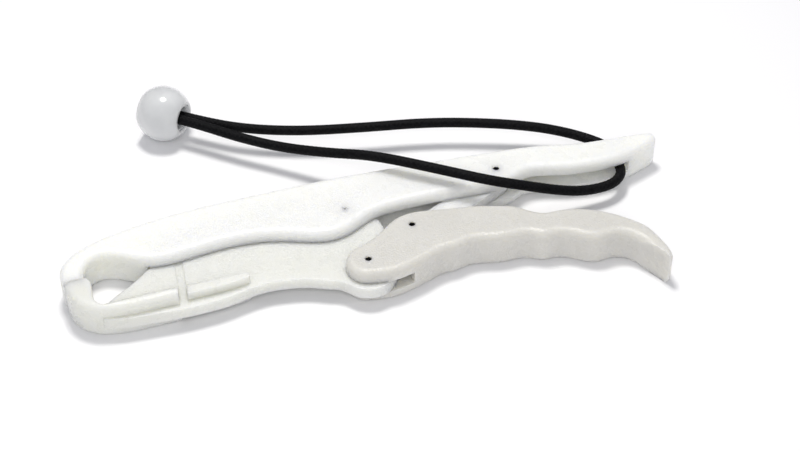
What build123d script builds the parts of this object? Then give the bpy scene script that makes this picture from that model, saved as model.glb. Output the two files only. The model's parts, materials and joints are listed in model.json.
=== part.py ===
from build123d import *
import os
from math import cos, radians, sin, tan

# Locking lip grip with a ball-and-loop lanyard, in millimetres.
#
# The grip lies flat on the plane z = 0 with its long side along X: the jaws are
# at -X, the tail and the squeeze lever at +X. All four pivots run along Z. It is
# built in three layers, plate / slot / plate. The lower jaw's tongue and the
# toggle link are one slot layer thick and run between the plates of the upper
# handle and of the lever. Plan outlines are given from the jaw pivot's axis.

os.makedirs("parts", exist_ok=True)

# ---- driving dimensions -----------------------------------------------------
thickness = 17.0          # whole grip, plate face to plate face
plate = 5.5               # each side plate of the handle and the lever
running_gap = 0.25        # between a sliding flat and the plate beside it
outer_round = 3.0         # rounding of the moulded outer edges
lever_round = 3.2
tip_gap = 0.4             # between the closed jaw tips

pivot_x, pivot_y = -10.906, 23.862  # jaw pivot in the row's own frame
lever_pivot = (0.5, -31.8)          # plan places, from the jaw pivot
link_lever_pivot = (24.0, -17.8)
link_body_pivot = (69.5, 4.0)

pin_radius = 1.4          # slotted spring pins
pin_bore = 0.85
pin_slit = 0.5
pin_recess = 0.7          # pin end below the plate's face
press_gap = 0.02          # pin to plate
bore_gap = 0.08           # pin to the part that turns on it
vent_radius = 0.7         # knock-out hole over the jaw pivot's blind end

jaw_lobe = 12.0           # round rear end of the lower jaw
tongue_lobe = 10.3        # round end of the tongue at the jaw pivot
rail_height = 4.25        # rear rail above and below the flange
notch_depth = 0.5
lever_lobe = 9.4          # round front end of the lever
claw_centre = (117.8, -65.5)        # the lever's curved end
claw_radius = 4.0
link_width = 11.0
link_eye = 2.75           # radius of the link's long eye at the lever
link_float = 2.8          # its extra length

cord_diameter = 4.5
cord_bore = 5.9           # cross hole through the handle's spine
cord_hole_x = 125.3
ball_radius = 12.5
ball_bore = 5.2           # radius of the cord's way in
ball_pocket = 8.2         # radius of the knot's pocket, open at the back
knot_radius = 7.2
knot_length = 11.0
ball_place = (-58.5, 89.2)          # from the jaw pivot
neck_angle = -39.0        # from the ball's centre to its neck, degrees
cord_spread = 2.6         # each strand from the bore's axis
collar_plane = 10.9       # the collar's face, from the ball's centre
knot_face = 1.0           # the knot's front, from the ball's centre

slot_height = thickness - 2 * plate
flange = slot_height - 2 * running_gap
flange_bottom = plate + running_gap
mid = thickness / 2


def level(z):
    """A plan plane at height z, with its origin on the jaw pivot's axis."""
    return Plane(origin=(pivot_x, pivot_y, z))


def at(x, y, z):
    """A point of the row's frame, from a place given from the jaw pivot."""
    return Vector(pivot_x + x, pivot_y + y, z)


def around(centre, radius, angle):
    """A plan point on a circle."""
    return (centre[0] + radius * cos(radians(angle)), centre[1] + radius * sin(radians(angle)))


def top_and_bottom(part):
    """The edges that bound the part's lowest and highest faces."""
    levels = part.edges().group_by(Axis.Z)
    return levels[0] + levels[-1]


def save(part, name):
    """Label a finished piece and write it as its own STEP."""
    part.label = name
    export_step(part, f"parts/{name}.step")


# ---- upper handle with the fixed jaw ----------------------------------------
with BuildPart() as upper_handle:
    with BuildSketch(level(0)):
        with BuildLine():
            far_edge = Spline(
                (142.1, 6.6), (122, 8.4), (109, 9.8), (97, 12.6), (80, 15.2), (50, 17.6), (10, 20.6),
                (-38, 21.2), (-75, 19.9), (-97, 16.2), (-112, 11.2), (-120.2, 4.6), (-121.6, -6.5),
            )
            tip = Line(far_edge @ 1, (-112.6, -6.5))
            near_edge = Spline(
                tip @ 1, (-111.4, 0.5), (-106, 4.6), (-99, 3.4), (-92, -0.6), (-85, -3.9), (-75, -4.6),
                (-60, -3.2), (-42, -3.2), (-28, -6.4), (-18, -10.2), (-9, -12), (0.5, -9.8), (10, -5.1),
                (22, -3.2), (50, -3.7), (67, -4.5), (74.5, -3.6), (80.5, -0.9), (88, -1.1), (98, -3.9),
                (112, -5.7), (123, -5.4), (132, -3.4), (142.1, 0.4),
            )
            TangentArc(near_edge @ 1, far_edge @ 0, tangent=near_edge % 1)
        make_face()
    extrude(amount=thickness)
    fillet(top_and_bottom(upper_handle).filter_by(GeomType.LINE, reverse=True), radius=outer_round)
    # The slot for the tongue and the link, open along the near side.
    with BuildSketch(level(plate)):
        with BuildLine():
            slot_far = Spline(
                (-86.6, -3.4), (-82.5, 2.6), (-73, 8.6), (-55, 12.2), (-20, 13.4), (20, 12.8), (57, 11.2),
                (80, 9.6), (97, 6.6), (109, 2.6), (119, 0.9), (125.8, 0.5), (128.5, -2.4),
            )
            Polyline(slot_far @ 1, (128.5, -20), (-86.6, -20), slot_far @ 0)
        make_face()
    extrude(amount=slot_height, mode=Mode.SUBTRACT)
    # Pin holes. The toggle end goes right through. The jaw end is blind at the
    # top, with a small knock-out hole over the pin.
    with BuildSketch(level(0)):
        with Locations(link_body_pivot):
            Circle(pin_radius + press_gap)
    extrude(amount=thickness, mode=Mode.SUBTRACT)
    with BuildSketch(level(0)):
        Circle(pin_radius + press_gap)
    extrude(amount=thickness - 2 * pin_recess, mode=Mode.SUBTRACT)
    with BuildSketch(level(0)):
        Circle(vent_radius)
    extrude(amount=thickness, mode=Mode.SUBTRACT)
    # Cross hole for the lanyard, from the far edge into the slot's end.
    with BuildSketch(Plane(origin=at(cord_hole_x, 20, mid), z_dir=(0, -1, 0))):
        Circle(cord_bore / 2)
    extrude(amount=26, mode=Mode.SUBTRACT)
save(upper_handle.part, "upper_handle")

# ---- lower jaw --------------------------------------------------------------
# A flange that fills the slot layer carries the whole outline. The nose and a
# rail along the outer edge are moulded out towards the grip's full thickness.
jaw_tip = -6.5 - tip_gap
with BuildSketch(level(0)) as jaw_outline:
    with BuildLine():
        flange_outer = Spline(
            (-109.5, -26.4), (-100, -28.9), (-91, -29.7), (-80, -30.5), (-68, -30.6), (-57, -29.6),
            (-48, -27.7), (-40, -27.1), (-32, -28.1), (-24, -30.2), (-16.5, -33.6),
            around(lever_pivot, jaw_lobe, 218),
            tangents=((0.9, -0.4), (sin(radians(38)), -cos(radians(38)))),
        )
        rear = ThreePointArc(
            flange_outer @ 1, around(lever_pivot, jaw_lobe, 290), around(lever_pivot, jaw_lobe, 0),
        )
        rear_edge = Spline(rear @ 1, (13.7, -19), (13.6, -9), around((0, 0), tongue_lobe, 15))
        lobe = ThreePointArc(
            rear_edge @ 1, around((0, 0), tongue_lobe, 55), around((0, 0), tongue_lobe, 95),
        )
        tongue_top = Spline(
            lobe @ 1, (-22, 9.9), (-45, 9.2), (-65, 6.4), (-78, 1.5), (-87, -4.8), (-93, -9.6),
            (-99, -13.4), (-104.5, -17), (-108.2, -20.1), (-110.6, -22),
        )
        Line(tongue_top @ 1, flange_outer @ 0)
    make_face()

# Ramps from the flange up to the inner edge of the nose and of the rear rail,
# alike on both faces. Each is a rise and two cross sections, (x, foot, crest),
# and the rear one narrows towards its end.
nose_ramp = (4.9, (-112, -17.8, -23.8), (-75.5, -17.8, -23.8))
rear_ramp = (rail_height, (-75, -17.5, -23), (-48.5, -20.5, -23))
with BuildPart() as ramps:
    for rise, *ends in (nose_ramp, rear_ramp):
        for x, foot, crest in ends:
            with BuildSketch(Plane(origin=at(x, 0, mid), x_dir=(0, 1, 0), z_dir=(1, 0, 0))):
                with BuildLine():
                    Polyline(
                        (foot, -flange / 2), (foot, flange / 2), (crest, flange / 2 + rise),
                        (crest, -flange / 2 - rise), close=True,
                    )
                make_face()
        loft(ruled=True)
    extrude(jaw_outline.sketch, amount=thickness, mode=Mode.INTERSECT)

with BuildPart() as lower_jaw:
    with BuildSketch(level(0)):
        with BuildLine():
            nose_outer = Spline(
                (-121.4, jaw_tip), (-121, -13), (-118.6, -19.4), (-113, -24.4), (-105, -27),
                (-94, -27.9), (-78.5, -27.9),
            )
            rail_end = Line(nose_outer @ 1, (-78, -23.4))
            nose_inner = Spline(
                rail_end @ 1, (-92, -23.4), (-104, -23.4), (-108.6, -22.9), (-110.9, -20.8), (-111.4, -15.5),
                (-111.9, jaw_tip),
            )
            Line(nose_inner @ 1, nose_outer @ 0)
        make_face()
    extrude(amount=thickness)
    curves = top_and_bottom(lower_jaw).filter_by(GeomType.BSPLINE).sort_by(SortBy.LENGTH)
    fillet(curves[2:], radius=outer_round)
    curves = top_and_bottom(lower_jaw).filter_by(GeomType.BSPLINE).sort_by(Axis.Y)
    fillet(curves[-2:], radius=1.0)
    # The rear rail, lower than the nose, with a rounded outer edge.
    with BuildSketch(level(flange_bottom - rail_height)):
        with BuildLine():
            rail_outer = Spline((-74.8, -26.8), (-63, -26.6), (-54, -26), (-48.5, -25))
            RadiusArc(rail_outer @ 1, (-48.5, -22.6), -1.6)
            Polyline((-48.5, -22.6), (-74, -22.6), rail_outer @ 0)
        make_face()
    extrude(amount=flange + 2 * rail_height)
    # The flange, from the nose back to the tongue and the rear lobe.
    extrude(jaw_outline.sketch.moved(Location((0, 0, flange_bottom))), amount=flange)
    add(ramps.part)
    # A cross notch between the two rails, on both faces.
    for z in (0, flange_bottom + flange - notch_depth):
        with BuildSketch(level(z)):
            with BuildLine():
                Polyline((-77.9, -25.6), (-74.7, -25.6), (-71.6, -2), (-75, -2), close=True)
            make_face()
        extrude(amount=flange_bottom + notch_depth, mode=Mode.SUBTRACT)
    with BuildSketch(level(0)):
        with Locations((0, 0), lever_pivot):
            Circle(pin_radius + bore_gap)
    extrude(amount=thickness, mode=Mode.SUBTRACT)
save(lower_jaw.part, "lower_jaw")

# ---- squeeze lever ----------------------------------------------------------
# One closed curve: the round front end, the finger grooves, the claw and the back.
with BuildPart() as squeeze_lever:
    with BuildSketch(level(0)):
        with BuildLine():
            front = [around(lever_pivot, lever_lobe, angle) for angle in (110, 147, 185, 228, 270)]
            grooves = [
                (10, -41.9), (18, -40.2), (26, -37.7), (32, -35.8), (38.5, -35.4), (44, -34.2),
                (50, -34.9), (56, -36.4), (62, -36.9), (69, -37.8), (74.4, -40.6), (81.5, -41.4),
                (86, -43.4), (90.5, -46.5), (96, -48.9), (103, -48.7), (108, -50.4), (111.8, -55),
                (113.5, -60),
            ]
            claw = [around(claw_centre, claw_radius, angle) for angle in range(186, 361, 29)]
            back = [
                (120.9, -57), (118, -47.9), (112, -40.6), (104, -33.9), (95, -29.4), (86, -27.5),
                (79.6, -26.9), (75, -24.3), (70, -19.9), (62, -16.6), (53, -14), (43, -12.2),
                (34, -10.5), (26, -9.6), (18.5, -11.2), (12, -15.4), (5, -20),
            ]
            Spline(*front, *grooves, *claw, *back, periodic=True)
        make_face()
    extrude(amount=thickness)
    fillet(top_and_bottom(squeeze_lever), radius=lever_round)
    # The inner side of the claw, cut back so that the claw narrows to a point.
    with BuildSketch(level(0)):
        with BuildLine():
            claw_side = Spline((107.6, -50.9), (113.1, -56.6), (115.9, -61), (118.2, -65.4), (120.4, -70.4))
            Polyline(claw_side @ 1, (109, -72), claw_side @ 0)
        make_face()
    extrude(amount=thickness, mode=Mode.SUBTRACT)
    # The clevis slot for the lower jaw and the link, closed behind the link.
    with BuildSketch(level(plate)):
        with BuildLine():
            slot_rear = Spline((18.4, -46), (17.4, -37), (17.6, -31), (21, -27.4), (29.2, -23.8))
            Polyline(
                slot_rear @ 1, (58, -8.8), (58, 0), (-30, 0), (-30, -50), (18.4, -50), slot_rear @ 0,
            )
        make_face()
    extrude(amount=slot_height, mode=Mode.SUBTRACT)
    with BuildSketch(level(0)):
        with Locations(lever_pivot, link_lever_pivot):
            Circle(pin_radius + press_gap)
    extrude(amount=thickness, mode=Mode.SUBTRACT)
save(squeeze_lever.part, "squeeze_lever")

# ---- toggle link ------------------------------------------------------------
link_line = Vector(*link_body_pivot) - Vector(*link_lever_pivot)
link_angle = link_line.get_angle(Vector(1, 0))
eye_centre = Vector(*link_lever_pivot) + link_line.normalized() * (link_float / 2)
link_centre = (Vector(*link_lever_pivot) + Vector(*link_body_pivot)) / 2
with BuildPart() as toggle_link:
    with BuildSketch(level(flange_bottom)):
        with Locations(link_centre):
            SlotCenterToCenter(link_line.length, link_width, rotation=link_angle)
        with Locations(eye_centre):
            SlotCenterToCenter(link_float, 2 * link_eye, rotation=link_angle, mode=Mode.SUBTRACT)
        with Locations(link_body_pivot):
            Circle(pin_radius + bore_gap, mode=Mode.SUBTRACT)
    extrude(amount=flange)
save(toggle_link.part, "toggle_link")

# ---- slotted spring pins ----------------------------------------------------
full_pin = thickness - 2 * pin_recess
pins = {
    "jaw_pivot_pin": ((0, 0), full_pin - pin_recess, 60),
    "lever_pivot_pin": (lever_pivot, full_pin, 200),
    "link_lever_pin": (link_lever_pivot, full_pin, 130),
    "link_body_pin": (link_body_pivot, full_pin, 310),
}
for name, (place, length, slit_angle) in pins.items():
    with BuildPart() as pin:
        with BuildSketch(level(pin_recess)):
            with Locations(place):
                Circle(pin_radius)
                Circle(pin_bore, mode=Mode.SUBTRACT)
            with Locations(around(place, pin_radius, slit_angle)):
                Rectangle(2 * pin_radius, pin_slit, rotation=slit_angle, mode=Mode.SUBTRACT)
        extrude(amount=length)
    save(pin.part, name)

# ---- lanyard: ball and knot -------------------------------------------------
# The ball is bored from its neck for the two strands, and pocketed from the back
# for the knot that holds their ends.
neck = Vector(cos(radians(neck_angle)), sin(radians(neck_angle)), 0)
ball_centre = at(*ball_place, ball_radius + 0.05)
neck_plane = Plane(origin=ball_centre, x_dir=(0, 0, 1), z_dir=neck)
with BuildPart(neck_plane) as lanyard_ball:
    Sphere(ball_radius)
    with BuildSketch(neck_plane):
        Circle(ball_bore)
    extrude(amount=ball_radius, mode=Mode.SUBTRACT)
    with BuildSketch(neck_plane.offset(knot_face)):
        Circle(ball_pocket)
    extrude(amount=-2 * ball_radius, mode=Mode.SUBTRACT)
    # Two recessed rings round the way in.
    for radius, depth in ((7.4, 0.9), (6.3, 2.0)):
        with BuildSketch(neck_plane.offset(collar_plane - depth)):
            Circle(radius)
        extrude(amount=ball_radius, mode=Mode.SUBTRACT)
save(lanyard_ball.part, "lanyard_ball")

with BuildPart() as lanyard_knot:
    with BuildSketch(neck_plane.offset(knot_face)):
        Circle(knot_radius)
    extrude(amount=-knot_length)
    fillet(lanyard_knot.edges(), radius=2.4)
save(lanyard_knot.part, "lanyard_knot")

# ---- lanyard: the elastic cord ----------------------------------------------
# One cord, from the knot out to the tail, through the cross hole and the slot's
# mouth, and back over the handle to the knot. Heights are from the rest plane.
side = Vector(-neck.Y, neck.X, 0) * 0.9 - Vector(0, 0, 0.43)
strand = side.normalized() * cord_spread
cord_route = [
    ball_centre + neck * knot_face + strand,
    ball_centre + neck * 18 + strand,
    at(-26, 67.6, 12.3),
    at(-3, 58.4, 12.5),
    at(24, 52.2, 12.5),
    at(54, 46.3, 12.5),
    at(80, 37.4, 12.3),
    at(98, 30.2, 11.3),
    at(110, 24.6, 9.6),
    at(119.3, 17.8, 8.6),
    at(125.1, 10.8, mid),
    at(125.6, -1.6, mid),
    at(123.6, -8.8, mid),
    at(116.4, -13.4, mid),
    at(103.5, -13.8, 9.2),
    at(91, -12.8, 12.6),
    at(77.5, -12.2, 18.4),
    at(61.5, -8.6, 23),
    at(43, 4.6, 23.4),
    at(19.5, 21.8, 23),
    at(3.5, 36.4, 16.4),
    at(-14, 50, 12.8),
    at(-30.5, 62.4, 12.9),
    ball_centre + neck * 18 - strand,
    ball_centre + neck * knot_face - strand,
]
runs = [b - a for a, b in zip(cord_route, cord_route[1:])]
turns = [radians(a.get_angle(b)) for a, b in zip(runs, runs[1:])]
corner_radii = [
    0.45 * min(a.length, b.length) / tan(turn / 2) for a, b, turn in zip(runs, runs[1:], turns)
]
with BuildPart() as lanyard_cord:
    with BuildLine() as cord_line:
        FilletPolyline(*cord_route, radius=corner_radii)
    with BuildSketch(Plane(origin=cord_route[0], z_dir=runs[0])):
        Circle(cord_diameter / 2)
    sweep()
save(lanyard_cord.part, "lanyard_cord")

cord_length = cord_line.wire().length
print("cord corner radii", [round(radius, 1) for radius in corner_radii])
print("cord runs", [round(run.length, 1) for run in runs])
print("cord length", round(cord_length, 1))
print("cord section check", round(lanyard_cord.part.volume / cord_length / (cord_diameter / 2) ** 2, 4))
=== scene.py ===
import json
from math import cos, pi, radians, sin

import bpy
import numpy as np
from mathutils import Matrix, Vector


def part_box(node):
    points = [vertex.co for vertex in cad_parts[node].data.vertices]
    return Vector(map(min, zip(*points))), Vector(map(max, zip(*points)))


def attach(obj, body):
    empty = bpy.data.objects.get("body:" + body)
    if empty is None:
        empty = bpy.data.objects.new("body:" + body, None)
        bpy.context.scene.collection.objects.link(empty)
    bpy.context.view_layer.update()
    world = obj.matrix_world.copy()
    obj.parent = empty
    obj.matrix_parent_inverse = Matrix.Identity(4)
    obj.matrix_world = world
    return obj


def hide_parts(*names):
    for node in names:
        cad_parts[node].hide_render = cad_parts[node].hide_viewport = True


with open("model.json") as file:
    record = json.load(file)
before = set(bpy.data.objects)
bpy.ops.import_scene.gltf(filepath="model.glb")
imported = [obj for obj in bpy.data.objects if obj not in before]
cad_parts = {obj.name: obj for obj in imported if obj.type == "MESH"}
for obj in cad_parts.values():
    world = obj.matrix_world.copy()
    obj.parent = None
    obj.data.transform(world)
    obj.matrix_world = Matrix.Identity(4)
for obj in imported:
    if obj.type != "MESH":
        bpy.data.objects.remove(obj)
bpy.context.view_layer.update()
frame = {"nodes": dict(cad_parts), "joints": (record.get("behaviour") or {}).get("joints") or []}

# Lip grip with a ball-and-loop lanyard. The moulded pieces, the pins and the ball
# are the frame's own solids with new surfaces. The cord and its knot are modelled
# here as a braided elastic cord. Lengths are in metres.

jaw_pivot = Vector(next(j for j in frame["joints"] if j["name"] == "jaw_pivot")["pos_m"])


def at(x, y, z):
    """A point given from the jaw pivot's axis and the floor."""
    return Vector((jaw_pivot.x + x, jaw_pivot.y + y, z))


# ---- camera -------------------------------------------------------------------
camera_data = bpy.data.cameras.new("photo_view")
camera = bpy.data.objects.new("photo_view", camera_data)
bpy.context.scene.collection.objects.link(camera)
bpy.context.scene.camera = camera
look_at = at(0.0216, -0.0089, 0.0085)
camera_distance = 0.8
camera_elevation = radians(44)
camera_azimuth = radians(-108)
towards_camera = Vector((
    cos(camera_elevation) * cos(camera_azimuth),
    cos(camera_elevation) * sin(camera_azimuth),
    sin(camera_elevation),
))
camera.location = look_at + towards_camera * camera_distance
camera.rotation_euler = towards_camera.to_track_quat("Z", "Y").to_euler()
camera_data.sensor_width = 36
camera_data.lens = 84.6


# ---- cord geometry --------------------------------------------------------------
CORD_DIAMETER = 0.0045
BRAID_STRANDS = 9            # lozenges round the cord
BRAID_PITCH = 0.0021         # one lozenge to the next, along it
BRAID_DEPTH = 0.00011
CORD_SIDES = 45
CORD_STEP = 0.00035

ball_centre = (sum(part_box("lanyard_ball"), Vector())) / 2
neck_angle = radians(-39)
neck = Vector((cos(neck_angle), sin(neck_angle), 0))
side = Vector((-neck.y, neck.x, 0)) * 0.9 - Vector((0, 0, 0.43))
strand = side.normalized() * 0.0026

cord_route = [
    ball_centre + neck * 0.001 + strand,
    ball_centre + neck * 0.018 + strand,
    at(-0.026, 0.0676, 0.0123),
    at(-0.003, 0.0584, 0.0125),
    at(0.024, 0.0522, 0.0125),
    at(0.054, 0.0463, 0.0125),
    at(0.08, 0.0374, 0.0123),
    at(0.098, 0.0302, 0.0113),
    at(0.11, 0.0246, 0.0096),
    at(0.1193, 0.0178, 0.0086),
    at(0.1251, 0.0108, 0.0085),
    at(0.1256, -0.0016, 0.0085),
    at(0.1236, -0.0088, 0.0085),
    at(0.1164, -0.0134, 0.0085),
    at(0.1035, -0.0138, 0.0092),
    at(0.091, -0.0128, 0.0126),
    at(0.0775, -0.0122, 0.0184),
    at(0.0615, -0.0086, 0.023),
    at(0.043, 0.0046, 0.0234),
    at(0.0195, 0.0218, 0.023),
    at(0.0035, 0.0364, 0.0164),
    at(-0.014, 0.05, 0.0128),
    at(-0.0305, 0.0624, 0.0129),
    ball_centre + neck * 0.018 - strand,
    ball_centre + neck * 0.001 - strand,
]


def nurbs_line(name, points, closed=False):
    """Points along a NURBS spline whose control points are the given ones."""
    curve = bpy.data.curves.new(name, "CURVE")
    curve.dimensions = "3D"
    spline = curve.splines.new("NURBS")
    spline.points.add(len(points) - 1)
    for control, point in zip(spline.points, points):
        control.co = (*point, 1)
    spline.use_cyclic_u = closed
    spline.order_u = 3
    spline.use_endpoint_u = not closed
    spline.resolution_u = 24
    holder = bpy.data.objects.new(name, curve)
    mesh = bpy.data.meshes.new_from_object(holder)
    line = [vertex.co.copy() for vertex in mesh.vertices]
    bpy.data.objects.remove(holder)
    bpy.data.meshes.remove(mesh)
    return line


def even_steps(line, step):
    """The same line with points about one step apart."""
    line = np.array(line)
    along = np.concatenate([[0], np.cumsum(np.linalg.norm(np.diff(line, axis=0), axis=1))])
    wanted = np.linspace(0, along[-1], max(3, round(along[-1] / step) + 1))
    return np.column_stack([np.interp(wanted, along, line[:, axis]) for axis in range(3)])


def braided_tube(name, line, radius, closed=False):
    """A tube along a line, with the lozenges of a braided cover in its surface."""
    points = even_steps(line + line[:1] if closed else line, CORD_STEP)
    tangents = np.gradient(points, axis=0)
    tangents /= np.linalg.norm(tangents, axis=1)[:, None]
    across = np.cross(tangents[0], (0.0, 0.0, 1.0))
    turns = np.linspace(0, 2 * pi, CORD_SIDES, endpoint=False)
    vertices = []
    for index, (point, tangent) in enumerate(zip(points, tangents)):
        across = across - tangent * across.dot(tangent)
        across /= np.linalg.norm(across)
        up = np.cross(across, tangent)
        phase = cos(2 * pi * index * CORD_STEP / BRAID_PITCH)
        weave = np.cos(BRAID_STRANDS * turns) * phase
        swell = radius - BRAID_DEPTH + BRAID_DEPTH * np.sign(weave) * np.abs(weave) ** 0.6
        ring = np.outer(np.cos(turns) * swell, across) + np.outer(np.sin(turns) * swell, up)
        vertices.extend(point + ring)
    faces = []
    for ring in range(len(points) - 1):
        for corner in range(CORD_SIDES):
            beside = (corner + 1) % CORD_SIDES
            a, b = ring * CORD_SIDES + corner, ring * CORD_SIDES + beside
            faces.append((a, b, b + CORD_SIDES, a + CORD_SIDES))
    if not closed:
        faces.append(tuple(reversed(range(CORD_SIDES))))
        faces.append(tuple(range(len(vertices) - CORD_SIDES, len(vertices))))
    mesh = bpy.data.meshes.new(name)
    mesh.from_pydata(vertices, [], faces)
    mesh.polygons.foreach_set("use_smooth", [True] * len(faces))
    tube = bpy.data.objects.new(name, mesh)
    bpy.context.scene.collection.objects.link(tube)
    return tube


# ---- materials ------------------------------------------------------------------
class Surface:
    """A node material built round one Principled shader."""

    def __init__(self, name, **sockets):
        self.material = bpy.data.materials.new(name)
        self.material.use_nodes = True
        self.nodes = self.material.node_tree.nodes
        self.links = self.material.node_tree.links
        self.shader = self.nodes["Principled BSDF"]
        self.place = self.nodes.new("ShaderNodeTexCoord").outputs["Object"]
        for socket, value in sockets.items():
            self.shader.inputs[socket.replace("_", " ")].default_value = value

    def noise(self, scale, detail):
        """A noise pattern, scale features to the metre."""
        texture = self.nodes.new("ShaderNodeTexNoise")
        texture.inputs["Scale"].default_value = scale
        texture.inputs["Detail"].default_value = detail
        self.links.new(self.place, texture.inputs["Vector"])
        return texture.outputs["Fac"]

    def ramp(self, value, low, high):
        """Two colours blended over the middle of a value's range."""
        ramp = self.nodes.new("ShaderNodeValToRGB")
        ramp.color_ramp.elements[0].position = 0.35
        ramp.color_ramp.elements[0].color = (*low, 1)
        ramp.color_ramp.elements[1].position = 0.65
        ramp.color_ramp.elements[1].color = (*high, 1)
        self.links.new(value, ramp.inputs["Fac"])
        return ramp.outputs["Color"]

    def to(self, socket, value):
        """Links a value to one of the shader's sockets."""
        self.links.new(value, self.shader.inputs[socket])
        return self

    def span(self, value, low, high):
        """A 0 to 1 value taken to another range."""
        node = self.nodes.new("ShaderNodeMapRange")
        node.inputs["To Min"].default_value = low
        node.inputs["To Max"].default_value = high
        self.links.new(value, node.inputs["Value"])
        return node.outputs["Result"]

    def bumps(self, *layers, rounding=0.0):
        """Stacked bumps, each a height, a strength and a depth in metres, on edges that look rounded."""
        normal = None
        if rounding:
            bevel = self.nodes.new("ShaderNodeBevel")
            bevel.inputs["Radius"].default_value = rounding
            normal = bevel.outputs["Normal"]
        for height, strength, depth in layers:
            bump = self.nodes.new("ShaderNodeBump")
            bump.inputs["Strength"].default_value = strength
            bump.inputs["Distance"].default_value = depth
            self.links.new(height, bump.inputs["Height"])
            if normal:
                self.links.new(normal, bump.inputs["Normal"])
            normal = bump.outputs["Normal"]
        return self.to("Normal", normal)


def milky_plastic(name, low, high, depth):
    """Translucent white moulding with a fine grain."""
    surface = Surface(
        name, Subsurface_Weight=1.0, Subsurface_Scale=depth, Subsurface_Radius=(1.0, 0.97, 0.85),
        Specular_IOR_Level=0.5, IOR=1.45,
    )
    surface.to("Base Color", surface.ramp(surface.noise(45, 3), low, high))
    surface.to("Roughness", surface.span(surface.noise(160, 3), 0.2, 0.36))
    return surface.bumps(
        (surface.noise(60, 2), 0.15, 0.0003),
        (surface.noise(1300, 2), 0.8, 0.0003),
        rounding=0.0005,
    )


shell = milky_plastic("moulded_shell", (0.865, 0.87, 0.83), (0.88, 0.885, 0.85), 0.0085)
# The jaw and the lever are the handle's white plastic; their darker base colours are painted shade.
jaw_plastic_painted_shade = milky_plastic("jaw_plastic_painted_shade", (0.73, 0.735, 0.695), (0.745, 0.75, 0.71), 0.0085)
lever_plastic_painted_shade = milky_plastic("lever_plastic_painted_shade", (0.645, 0.635, 0.6), (0.665, 0.655, 0.62), 0.005)

ball_surface = Surface(
    "ball_plastic", Subsurface_Weight=1.0, Subsurface_Scale=0.009, Subsurface_Radius=(1.0, 1.0, 1.0),
    Roughness=0.22, Coat_Weight=0.8, Coat_Roughness=0.05, IOR=1.5,
)
ball_tint = ball_surface.ramp(ball_surface.noise(70, 3), (0.58, 0.59, 0.6), (0.66, 0.67, 0.675))
ball_surface.to("Base Color", ball_tint)
ball_surface.bumps((ball_surface.noise(90, 2), 0.35, 0.0003))

# Near-black pins: partly a black oxide finish, partly painted shade for the darkness inside the deep pin
# holes.
pin_surface = Surface("black_pin", Metallic=0.9, Base_Color=(0.012, 0.012, 0.013, 1))
pin_surface.to("Roughness", pin_surface.span(pin_surface.noise(2500, 4), 0.3, 0.6))
pin_surface.bumps((pin_surface.noise(4000, 3), 0.4, 0.00003))

cord_surface = Surface("braided_cord", Specular_IOR_Level=0.09, IOR=1.45)
cord_tint = cord_surface.ramp(cord_surface.noise(900, 3), (0.003, 0.003, 0.0035), (0.008, 0.008, 0.009))
cord_surface.to("Base Color", cord_tint)
cord_surface.to("Roughness", cord_surface.span(cord_surface.noise(1500, 2), 0.42, 0.62))
cord_surface.bumps((cord_surface.noise(6000, 3), 0.5, 0.00006))


def finish_with(piece, surface):
    """Gives a piece one material."""
    piece.data.materials.clear()
    piece.data.materials.append(surface.material)


for node in ("upper_handle", "toggle_link"):
    finish_with(frame["nodes"][node], shell)
finish_with(frame["nodes"]["lower_jaw"], jaw_plastic_painted_shade)
finish_with(frame["nodes"]["squeeze_lever"], lever_plastic_painted_shade)
finish_with(frame["nodes"]["lanyard_ball"], ball_surface)
for node in ("jaw_pivot_pin", "lever_pivot_pin", "link_lever_pin", "link_body_pin"):
    finish_with(frame["nodes"][node], pin_surface)

# ---- lanyard --------------------------------------------------------------------
cord_line = nurbs_line("lanyard_route", cord_route)
cord = braided_tube("lanyard_braid", cord_line, CORD_DIAMETER / 2)
finish_with(cord, cord_surface)
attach(cord, "handle")
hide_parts("lanyard_cord")

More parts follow.
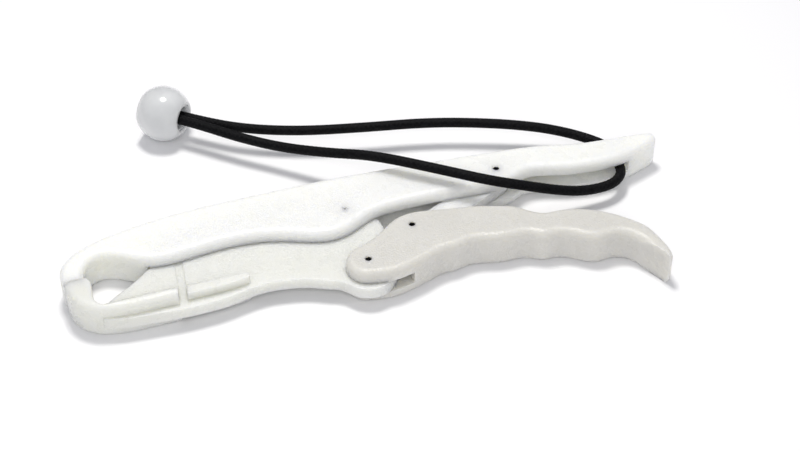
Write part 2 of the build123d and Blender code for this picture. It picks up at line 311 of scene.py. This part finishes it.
knot_centre = (sum(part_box("lanyard_knot"), Vector())) / 2
knot_ring, knot_weave, knot_reach = 0.0031, 0.0019, 0.0026
knot_cord_radius = 0.0021
knot_steps = 48
across_neck = Vector((-neck.y, neck.x, 0))
knot_points = []
for step in range(knot_steps):
    turn = 2 * pi * step / knot_steps
    out = knot_ring + knot_weave * cos(3 * turn)
    knot_points.append(
        knot_centre + across_neck * out * cos(2 * turn) + Vector((0, 0, out * sin(2 * turn)))
        + neck * knot_reach * sin(3 * turn)
    )
knot_line = nurbs_line("knot_route", knot_points, closed=True)
knot = braided_tube("lanyard_end_knot", knot_line, knot_cord_radius, closed=True)
finish_with(knot, cord_surface)
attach(knot, "handle")
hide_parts("lanyard_knot")

# ---- studio ---------------------------------------------------------------------
floor_mesh = bpy.data.meshes.new("studio_floor")
floor_half = 3.0
floor_mesh.from_pydata(
    [(-floor_half, -floor_half, 0), (floor_half, -floor_half, 0), (floor_half, floor_half, 0),
     (-floor_half, floor_half, 0)], [], [(0, 1, 2, 3)],
)
floor = bpy.data.objects.new("studio_floor", floor_mesh)
bpy.context.scene.collection.objects.link(floor)
floor_surface = Surface("studio_paper", Roughness=0.9, Base_Color=(0.93, 0.93, 0.94, 1))
floor_mesh.materials.append(floor_surface.material)

world = bpy.data.worlds.new("studio")
bpy.context.scene.world = world
world.use_nodes = True
world.node_tree.nodes["Background"].inputs["Color"].default_value = (0.92, 0.93, 1.0, 1)
world.node_tree.nodes["Background"].inputs["Strength"].default_value = 0.37
bpy.context.scene.view_settings.view_transform = "Standard"


def soft_light(name, place, size, energy, color, mirrored=True):
    """A square area light aimed at the middle of the object."""
    data = bpy.data.lights.new(name, "AREA")
    data.size = size
    data.energy = energy
    data.color = color
    light = bpy.data.objects.new(name, data)
    light.visible_glossy = mirrored
    bpy.context.scene.collection.objects.link(light)
    light.location = place
    light.rotation_euler = (light.location - look_at).to_track_quat("Z", "Y").to_euler()


soft_light("key_above", look_at + Vector((0.0, 0.22, 0.85)), 0.2, 5.0, (1.0, 0.985, 0.955))
soft_light("fill_front", look_at + towards_camera * 0.95, 0.45, 3.1, (1.0, 0.99, 0.97), mirrored=False)
